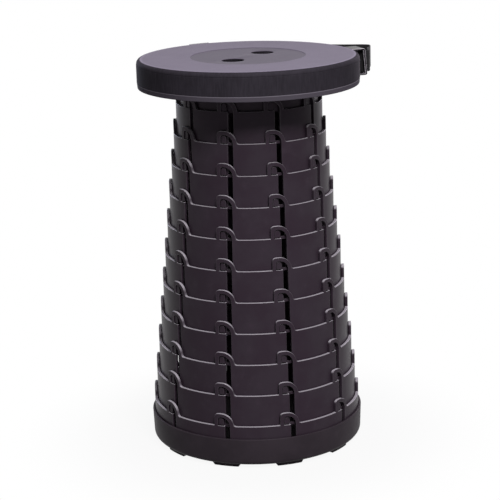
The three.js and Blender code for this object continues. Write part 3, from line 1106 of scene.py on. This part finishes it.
@dataclass
class StrapLoops:
    """The two loops on the skirt that the carrying strap is folded through."""

    seat: SeatLid
    wardrobe: Wardrobe
    turns: tuple[float, float] = (20.0, 115.0)
    tops: tuple[float, float] = (0.5 * MM, 1.6 * MM)
    width: float = 24.0 * MM
    height: float = 30.5 * MM
    arm: float = 1.6 * MM
    reach: float = 13.2 * MM
    lean: float = 2.4 * MM
    wall: float = 2.5 * MM
    corner: float = 2.2 * MM
    post: float = 3.6 * MM
    slot: float = 4.6 * MM
    bury: float = 0.8 * MM
    high_bury: float = 4.2 * MM
    edging: Edging = Edging(0.7 * MM, 3, gloss_and_painted_highlight=True)
    corner_steps: int = 5

    def facing(self, degrees: float) -> int:
        """Which way round a loop faces: the strap comes from the back of the seat."""
        return 1 if degrees < 90 else -1

    def strip(self, top: float) -> tuple[list[Point], list[Point]]:
        """Outer and inner edges of a loop's section, from the upper arm's root to the lower one's.

        Args:
            top: How far the loop's top lies below the seat's top.

        Returns:
            The outer edge's and the inner edge's points.
        """
        steps = self.corner_steps
        high_root = self.seat.radius - self.high_bury
        low_root = self.seat.radius - self.seat.lip_inset - self.bury
        high = self.seat.top - top
        low = self.seat.top - self.tops[0] - self.height
        reach = self.seat.radius + self.reach
        near = reach - self.wall
        inside = self.corner - self.wall / 2
        outer = [
            (high_root, high),
            *arc((reach - self.corner, high - self.corner), self.corner, 90, 0, steps),
            *arc((reach + self.lean - self.corner, low + self.corner), self.corner, 0, -90, steps),
            (low_root, low),
        ]
        inner = [
            (high_root, high - self.arm),
            *arc((near - inside, high - self.arm - inside), inside, 90, 0, steps),
            *arc((near + self.lean - inside, low + self.arm + inside), inside, 0, -90, steps),
            (low_root, low + self.arm),
        ]
        return outer, inner

    def loop(self, degrees: float, top: float) -> Object:
        """Makes one loop.

        Args:
            degrees: Its place round the seat.
            top: How far its top lies below the seat's top.

        Returns:
            The loop's object.
        """
        about = Matrix.Rotation(math.radians(degrees), 4, "Z")
        facing = self.facing(degrees)
        solid = CellSolid(lambda x, z, side: about @ Vector((x, facing * side, z)))
        start = -self.width / 2
        layers = [start, start + self.post, start + self.post + self.slot, self.width / 2]
        wall = self.corner_steps + 1
        for i, plan in enumerate(band(*self.strip(top))):
            for near, far in zip(layers, layers[1:]):
                if (i, near) != (wall, layers[1]):
                    solid.add(plan, near, far)
        mesh = bmesh.new()
        solid.pour(mesh)
        name = "strap_loop_right" if facing > 0 else "strap_loop_rear"
        return finished(name, mesh, self.edging)

    def build(self) -> None:
        """Makes both loops and dresses them in the loops' plastic."""
        for degrees, top in zip(self.turns, self.tops):
            piece = self.loop(degrees, top)
            self.wardrobe.dress(piece, Finish.LOOP)
            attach(piece, "seat")
            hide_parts("seat_lid")
            log.info("%s at %.0f degrees", piece.name, degrees)


@dataclass
class CarryStrap:
    """Flat webbing from loop to loop round the back of the seat, bulging at the right rear."""

    loops: StrapLoops
    wardrobe: Wardrobe
    width: float = 24.4 * MM
    thickness: float = 1.6 * MM
    gap: float = 0.35 * MM
    tail: float = 14.0 * MM
    bulge: float = 42.0 * MM
    fold: float = 5.0 * MM
    far_spread: float = 0.8 * MM
    bend_radius: float = 2.4 * MM
    snug_end: float = 0.658
    snug_points: int = 3
    bulge_shares: tuple[Point, ...] = (
        (0.074, 0.76), (0.104, 0.902), (0.125, 0.969), (0.146, 0.9),
        (0.184, 0.65), (0.238, 0.383), (0.306, 0.183), (0.387, 0.067),
    )
    return_shares: tuple[Point, ...] = ((0.737, 0.025), (0.816, 0.085), (0.895, 0.24))
    pace: float = 1.2 * MM

    def beside(self, degrees: float, radial: float, tangential: float) -> Vector:
        """A plan place beside a loop, from distances out from the axis and round the seat."""
        side = self.loops.facing(degrees) * tangential
        return Matrix.Rotation(math.radians(degrees), 4, "Z") @ Vector((radial, side, 0.0))

    def end(self, degrees: float, spread: float) -> list[Vector]:
        """The strap's end at one loop: tail inside, fold through the slot, back outside the bar."""
        loops = self.loops
        reach = loops.seat.radius + loops.reach
        inside = reach - loops.wall - self.thickness / 2 - self.gap
        outside = reach + loops.lean + self.thickness / 2 + self.gap + spread
        fold = loops.post + loops.slot / 2 - loops.width / 2
        turn = self.bend_radius
        places = [
            (inside, self.tail), (inside, fold + turn), (inside + turn, fold),
            (outside - turn, fold), (outside, fold + turn), (outside + spread, loops.width / 2),
        ]
        return [self.beside(degrees, *place) for place in places]

    def stops(self) -> list[Vector]:
        """Plan points of the strap's middle line, from one tail to the other."""
        loops = self.loops
        snug = loops.seat.radius + self.thickness
        first, last = loops.turns
        shares = list(self.bulge_shares)
        start = shares[-1][0]
        for i in range(1, self.snug_points + 1):
            shares.append((start + (self.snug_end - start) * i / self.snug_points, 0.0))
        shares += self.return_shares
        back = []
        for turn, out in shares:
            angle = math.radians(first + (last - first) * turn)
            radius = snug + self.bulge * out
            back.append(Vector((radius * math.cos(angle), radius * math.sin(angle), 0.0)))
        return [*self.end(first, self.fold), *back, *reversed(self.end(last, self.far_spread))]

    def line(self) -> list[Vector]:
        """The stops joined by a smooth curve, with a point about every millimetre."""
        stops = self.stops()
        stops = [2 * stops[0] - stops[1], *stops, 2 * stops[-1] - stops[-2]]
        points = []
        for i in range(1, len(stops) - 2):
            a, b, c, d = stops[i - 1:i + 3]
            knots = [0.0]
            for p, q in ((a, b), (b, c), (c, d)):
                knots.append(knots[-1] + math.sqrt((q - p).length))
            count = max(3, round((c - b).length / self.pace))
            for k in range(count):
                t = knots[1] + (knots[2] - knots[1]) * k / count
                points.append(self.on_curve((a, b, c, d), knots, t))
        points.append(stops[-2])
        return points

    @staticmethod
    def on_curve(stops: Sequence[Vector], knots: Sequence[float], t: float) -> Vector:
        """A point of the smooth curve through four stops.

        Args:
            stops: The four stops; the curve runs between the two in the middle.
            knots: Their parameters.
            t: The wanted parameter.

        Returns:
            The point.
        """
        row = list(stops)
        for level in range(1, 4):
            for i in range(4 - level):
                low, high = (knots[1], knots[2]) if level == 3 else (knots[i], knots[i + level])
                row[i] = row[i].lerp(row[i + 1], (t - low) / (high - low))
        return row[0]

    def section(self) -> list[Point]:
        """The webbing's section: thickness across, width up, with rounded selvedges."""
        half = self.thickness / 2
        tall = self.width / 2 - half
        return [*arc((0.0, tall), half, 0, 180, 6), *arc((0.0, -tall), half, 180, 360, 6)]

    def build(self) -> None:
        """Makes the strap with length and width coordinates for its weave."""
        seat = self.loops.seat
        middle = seat.top - self.loops.tops[0] - self.loops.height / 2
        line = self.line()
        section = self.section()
        mesh = bmesh.new()
        weave = mesh.loops.layers.uv.new("weave")
        rows = []
        travelled = [0.0]
        for i, spot in enumerate(line):
            before, after = line[max(0, i - 1)], line[min(len(line) - 1, i + 1)]
            ahead = (after - before).normalized()
            aside = Vector((ahead.y, -ahead.x, 0.0))
            if i:
                travelled.append(travelled[-1] + (spot - before).length)
            rows.append([spot + aside * x + Vector((0.0, 0.0, middle + z)) for x, z in section])
        around = [0.0]
        for (x0, z0), (x1, z1) in zip(section, section[1:] + section[:1]):
            around.append(around[-1] + math.hypot(x1 - x0, z1 - z0))
        for number, quad in enumerate(pour_rows(mesh, rows)):
            i, j = divmod(number, len(section))
            corners = ((i, j), (i, j + 1), (i + 1, j + 1), (i + 1, j))
            for loop, (row, column) in zip(quad.loops, corners):
                loop[weave].uv = (travelled[row], around[column])
        strap = finished("carry_strap_webbing", mesh, None)
        self.wardrobe.dress(strap, Finish.WEBBING)
        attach(strap, "seat")
        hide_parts("carry_strap")
        log.info("strap: %.0f mm long", travelled[-1] / MM)


@dataclass
class SeatCollar:
    """The short tube under the seat, with the screw flange and the pegs for the top ring."""

    seat: SeatLid
    wardrobe: Wardrobe
    flange_thickness: float = 3.0 * MM
    ease: float = 0.4 * MM
    head_height: float = 2.2 * MM
    head_radius: float = 3.4 * MM
    shank: float = 1.45 * MM
    tip: float = 0.5 * MM
    tip_length: float = 1.0 * MM
    cross: Spot = (1.9 * MM, 0.35 * MM, 1.1 * MM)
    segments: int = 160
    screw_segments: int = 32
    bore_segments: int = 24

    def build(self) -> None:
        """Makes the collar and its screws."""
        s = self.seat.sizes
        low, high = (corner[2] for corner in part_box("seat_collar"))
        outer = s.radius(0)
        inner = outer - s.wall
        flange_top = self.seat.under - self.seat.boss_depth - s.rest_gap
        flange_low = flange_top - self.flange_thickness
        ease = self.ease
        profile = [
            (outer - ease, low), (outer, low + ease), (outer, high), (inner, high),
            (inner, flange_top), (inner - self.seat.flange, flange_top),
            (inner - self.seat.flange, flange_low), (inner, flange_low),
            (inner, low + ease), (inner + ease, low), (outer - ease, low),
        ]
        mesh = bmesh.new()
        pour_revolved(mesh, profile, self.segments)
        pour_pegs(mesh, s, 0, s.peg_reach, low + s.lap)
        cutters = [self.screw_hole(spot, flange_low, flange_top) for spot in self.seat.screw_places()]
        collar = finished("seat_collar_shell", mesh, Edging(), cutters)
        self.wardrobe.dress(collar, Finish.RING)
        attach(collar, "seat")
        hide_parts("seat_collar")
        for index, spot in enumerate(self.seat.screw_places(), start=1):
            self.screw(index, spot)
        log.info("collar and screws made")

    def screw_hole(self, spot: Point, low: float, high: float) -> Object:
        """A bar that cuts one screw hole through the flange."""
        mesh = bmesh.new()
        bore, overrun = self.seat.screw_bore, self.seat.overrun
        bar = [(bore, low - overrun), (bore, high + overrun)]
        pour_revolved(mesh, bar, self.bore_segments, spot)
        return finished("screw_hole_cutter", mesh, None)

    def screw(self, index: int, spot: Point) -> None:
        """Makes one pan-head screw with a cross recess.

        Args:
            index: Its number, from 1.
            spot: Its place in plan.
        """
        node = f"seat_screw_{index}"
        low, high = (corner[2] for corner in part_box(node))
        crown, seat = self.head_radius, low + self.head_height
        dome = [(crown * math.sin(math.radians(a)), seat - self.head_height * math.cos(math.radians(a)))
                for a in (12, 30, 48, 66)]
        shank = self.shank
        profile = [*dome, (crown, seat), (shank, seat), (shank, high - self.tip_length), (self.tip, high)]
        mesh = bmesh.new()
        pour_revolved(mesh, profile, self.screw_segments, spot)
        cutters = [self.cross_cutter(spot, low, turn) for turn in (0.0, QUARTER)]
        piece = finished(f"{node}_pan_head", mesh, None, cutters)
        self.wardrobe.dress(piece, Finish.SCREW)
        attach(piece, "seat")
        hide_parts(node)

    def cross_cutter(self, spot: Point, low: float, turn: float) -> Object:
        """A bar that cuts one arm of the screw's cross recess."""
        mesh = bmesh.new()
        long, thin, deep = self.cross
        pour_box(mesh, (-long, -thin, low - self.seat.overrun), (long, thin, low + deep), turn, spot)
        return finished("cross_cutter", mesh, None)


@dataclass
class Tray:
    """The tray at the foot: rounded bottom corner, upright wall, ribbed underside and ten feet."""

    sizes: StackSizes
    wardrobe: Wardrobe
    wall: float = 2.6 * MM
    gap: float = 0.35 * MM
    draft: float = 0.9 * MM
    corner: float = 5.5 * MM
    rim_round: float = 0.6 * MM
    floor: float = 3.0 * MM
    rib_depth: float = 5.2 * MM
    rib_wall: float = 2.2 * MM
    hub_radius: float = 24.0 * MM
    hub_wall: float = 8.0 * MM
    foot_height: float = 3.6 * MM
    foot_width: float = 34.0 * MM
    foot_slope: float = 3.0 * MM
    foot_turn: float = 17.7
    foot_depth: float = 11.0 * MM
    bury: float = 0.8 * MM
    ease: float = 0.5 * MM
    rib_lift: float = 0.3 * MM
    core: float = 4.0 * MM
    edging: Edging = Edging(0.4 * MM, sharper_than=math.radians(40))
    plain_steps: int = 8
    segments: int = 200

    @property
    def well(self) -> float:
        """Inner radius of the wall."""
        return self.sizes.radius(self.sizes.rings) + self.gap

    @property
    def corner_radius(self) -> float:
        """Radius at which the rounded corner starts."""
        return self.well + self.wall - self.draft - self.corner

    def profile(self, top: float) -> list[Point]:
        """The tray's section, from under its centre foot round the wall to the hub's hollow."""
        well, ease = self.well, self.ease
        edge = well + self.wall - self.rim_round
        rim_inner = self.corner_radius - self.foot_depth
        deck = self.foot_height + self.rib_depth
        floor_top = deck + self.floor
        return [
            (self.core, 0.0),
            (self.hub_radius - self.foot_slope - ease, 0.0),
            (self.hub_radius - self.foot_slope, ease / 2),
            (self.hub_radius, self.foot_height),
            (self.hub_radius, deck),
            (rim_inner, deck),
            (rim_inner, self.foot_height + ease),
            (rim_inner + ease, self.foot_height),
            *arc((self.corner_radius, self.foot_height + self.corner), self.corner, -90, 0, 8),
            *arc((edge, top - self.rim_round), self.rim_round, 0, 90, 3),
            (well + ease / 2, top),
            (well, top - ease / 2),
            (well, floor_top),
            (self.hub_radius - self.hub_wall, floor_top),
            (self.hub_radius - self.hub_wall, self.floor),
            (self.core, self.floor),
        ]

    def foot(self, column: int) -> CellSolid:
        """One foot pad with sloping ends, curved with the rim."""
        turn = math.radians(self.foot_turn) - QUARTER + FULL_TURN * column / self.sizes.columns
        pad = CellSolid(round_wall(self.corner_radius, turn, 0.0))
        half, steps = self.foot_width / 2, self.plain_steps
        level = self.foot_width - 2 * self.foot_slope
        stops = [-half, *(self.foot_slope - half + level * i / steps for i in range(steps)),
                 half - self.foot_slope, half]
        for left, right in zip(stops, stops[1:]):
            low_left = self.foot_height if left == -half else 0.0
            low_right = self.foot_height if right == half else 0.0
            high = self.foot_height + self.bury
            plan = [(left, low_left), (right, low_right), (right, high), (left, high)]
            pad.add(plan, 0.0, self.foot_depth - self.bury)
        return pad

    def build(self) -> None:
        """Makes the tray with its ribs and feet."""
        s = self.sizes
        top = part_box("base_tray")[1][2]
        mesh = bmesh.new()
        pour_revolved(mesh, self.profile(top), self.segments)
        start, end = self.hub_radius - self.bury, self.corner_radius - self.foot_depth + self.bury
        low, high = self.foot_height + self.rib_lift, self.foot_height + self.rib_depth + self.bury
        half = self.rib_wall / 2
        for column in range(s.columns):
            turn = s.turn(s.rings) + FULL_TURN * (column + 0.5) / s.columns
            pour_box(mesh, (start, -half, low), (end, half, high), turn)
            self.foot(column).pour(mesh)
        tray = finished("base_tray_shell", mesh, self.edging)
        self.wardrobe.dress(tray, Finish.TRAY)
        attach(tray, "base")
        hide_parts("base_tray")
        log.info("tray made")


@dataclass
class Studio:
    """Floor, world, lamps and camera."""

    image_side: int = 500
    focal_pixels: float = 1659.63
    camera_place: Spot = (-3.354 * MM, -1846.67 * MM, 711.68 * MM)
    pitch: float = -0.260
    roll: float = 0.027
    sensor: float = 36.0
    middle: Spot = (0.0, 0.0, 0.24)
    floor_half: float = 6.0
    floor_drop: float = 0.05 * MM
    floor_grey: float = 0.33
    clearing: tuple[float, float] = (0.12, 0.3)
    least_white: float = 0.92
    ambient: float = 0.05
    clip: tuple[float, float] = (0.05, 60.0)

    def camera(self) -> None:
        """Sets the camera at the photograph's place, slightly rolled."""
        data = bpy.data.cameras.new("camera")
        data.sensor_width = self.sensor
        data.lens = self.focal_pixels / self.image_side * self.sensor
        data.clip_start, data.clip_end = self.clip
        made = bpy.data.objects.new("camera", data)
        tilt = Matrix.Rotation(QUARTER + self.pitch, 4, "X") @ Matrix.Rotation(-self.roll, 4, "Z")
        made.matrix_world = Matrix.Translation(self.camera_place) @ tilt
        bpy.context.scene.collection.objects.link(made)
        bpy.context.scene.camera = made

    def lamps(self) -> None:
        """Adds a high key in front, a small lamp above, and two weak coloured ones behind."""
        for name, place, size, watts, colour in (
            ("key_front", (0.72, -2.14, 2.6), (1.1, 0.8), 120.0, (1.0, 0.97, 0.98)),
            ("top_front", (0.2, -0.55, 1.85), (0.6, 0.5), 11.0, (0.98, 0.93, 1.0)),
            ("rim_right", (0.9, 1.6, 0.6), (0.5, 0.9), 6.0, (0.95, 0.8, 1.0)),
            ("rim_left", (-0.9, 1.6, 0.6), (0.5, 0.9), 6.0, (0.65, 0.7, 1.0)),
        ):
            data = bpy.data.lights.new(name, "AREA")
            data.shape = "RECTANGLE"
            data.size, data.size_y = size
            data.energy, data.color = watts, colour
            made = bpy.data.objects.new(name, data)
            made.location = place
            ahead = Vector(self.middle) - Vector(place)
            made.rotation_euler = ahead.to_track_quat("-Z", "Y").to_euler()
            bpy.context.scene.collection.objects.link(made)

    def world(self) -> None:
        """Plain pale surroundings that the camera and reflections see as white."""
        recipe = Recipe(bpy.data.worlds.new("surroundings"))
        soft = recipe.node("ShaderNodeBackground", None, {
            "Color": rgb(0.95, 0.96, 1.0), "Strength": self.ambient})
        white = recipe.node("ShaderNodeBackground", None, {"Color": rgb(1.0, 1.0, 1.0), "Strength": 1.0})
        recipe.finish(recipe.node("ShaderNodeMixShader", None, {0: recipe.seen(), 1: soft, 2: white}))
        bpy.context.scene.world = recipe.owner

    def floor(self) -> None:
        """A pale floor that keeps the shadow near the stool and turns plain white further off."""
        mesh = bmesh.new()
        half, low = self.floor_half, -self.floor_drop
        mesh.faces.new([mesh.verts.new((x, y, low)) for x, y in rectangle(-half, -half, half, half)])
        floor = finished("floor", mesh, None)
        recipe = Recipe(bpy.data.materials.new("floor_paint"))
        clear = recipe.reach().ramp(*self.clearing, self.least_white, 1.0) * recipe.seen()
        grey = rgb(self.floor_grey, self.floor_grey, self.floor_grey)
        paint = recipe.node("ShaderNodeBsdfDiffuse", None, {"Color": grey})
        glow = recipe.node("ShaderNodeEmission", None, {"Color": rgb(1.0, 1.0, 1.0), "Strength": 1.0})
        recipe.finish(recipe.node("ShaderNodeMixShader", None, {0: clear, 1: paint, 2: glow}))
        floor.data.materials.append(recipe.owner)
        floor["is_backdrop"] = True

    def build(self) -> None:
        """Sets everything up."""
        self.camera()
        self.lamps()
        self.world()
        self.floor()
        bpy.context.scene.view_settings.view_transform = "Standard"
        log.info("camera, lamps, world and floor set")


def plain(box: Iterable[Iterable[float]]) -> list[list[float]]:
    """A box as plain lists of numbers."""
    return [[float(c) for c in corner] for corner in box]


def main() -> None:
    """Builds the pieces in order and works out the boxes of the solids and of the dressed part."""
    logging.basicConfig(level=logging.INFO, format="%(name)s: %(message)s")
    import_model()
    solid_box = plain(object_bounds())
    wardrobe = Wardrobe()
    sizes = StackSizes()
    RingStack(sizes, wardrobe).build()
    seat = SeatLid(sizes, wardrobe)
    seat.build()
    SeatCollar(seat, wardrobe).build()
    loops = StrapLoops(seat, wardrobe)
    loops.build()
    CarryStrap(loops, wardrobe).build()
    Tray(sizes, wardrobe).build()
    Studio().build()
    {"solids": solid_box, "dressed": plain(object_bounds())}


if __name__ == "__main__":
    main()
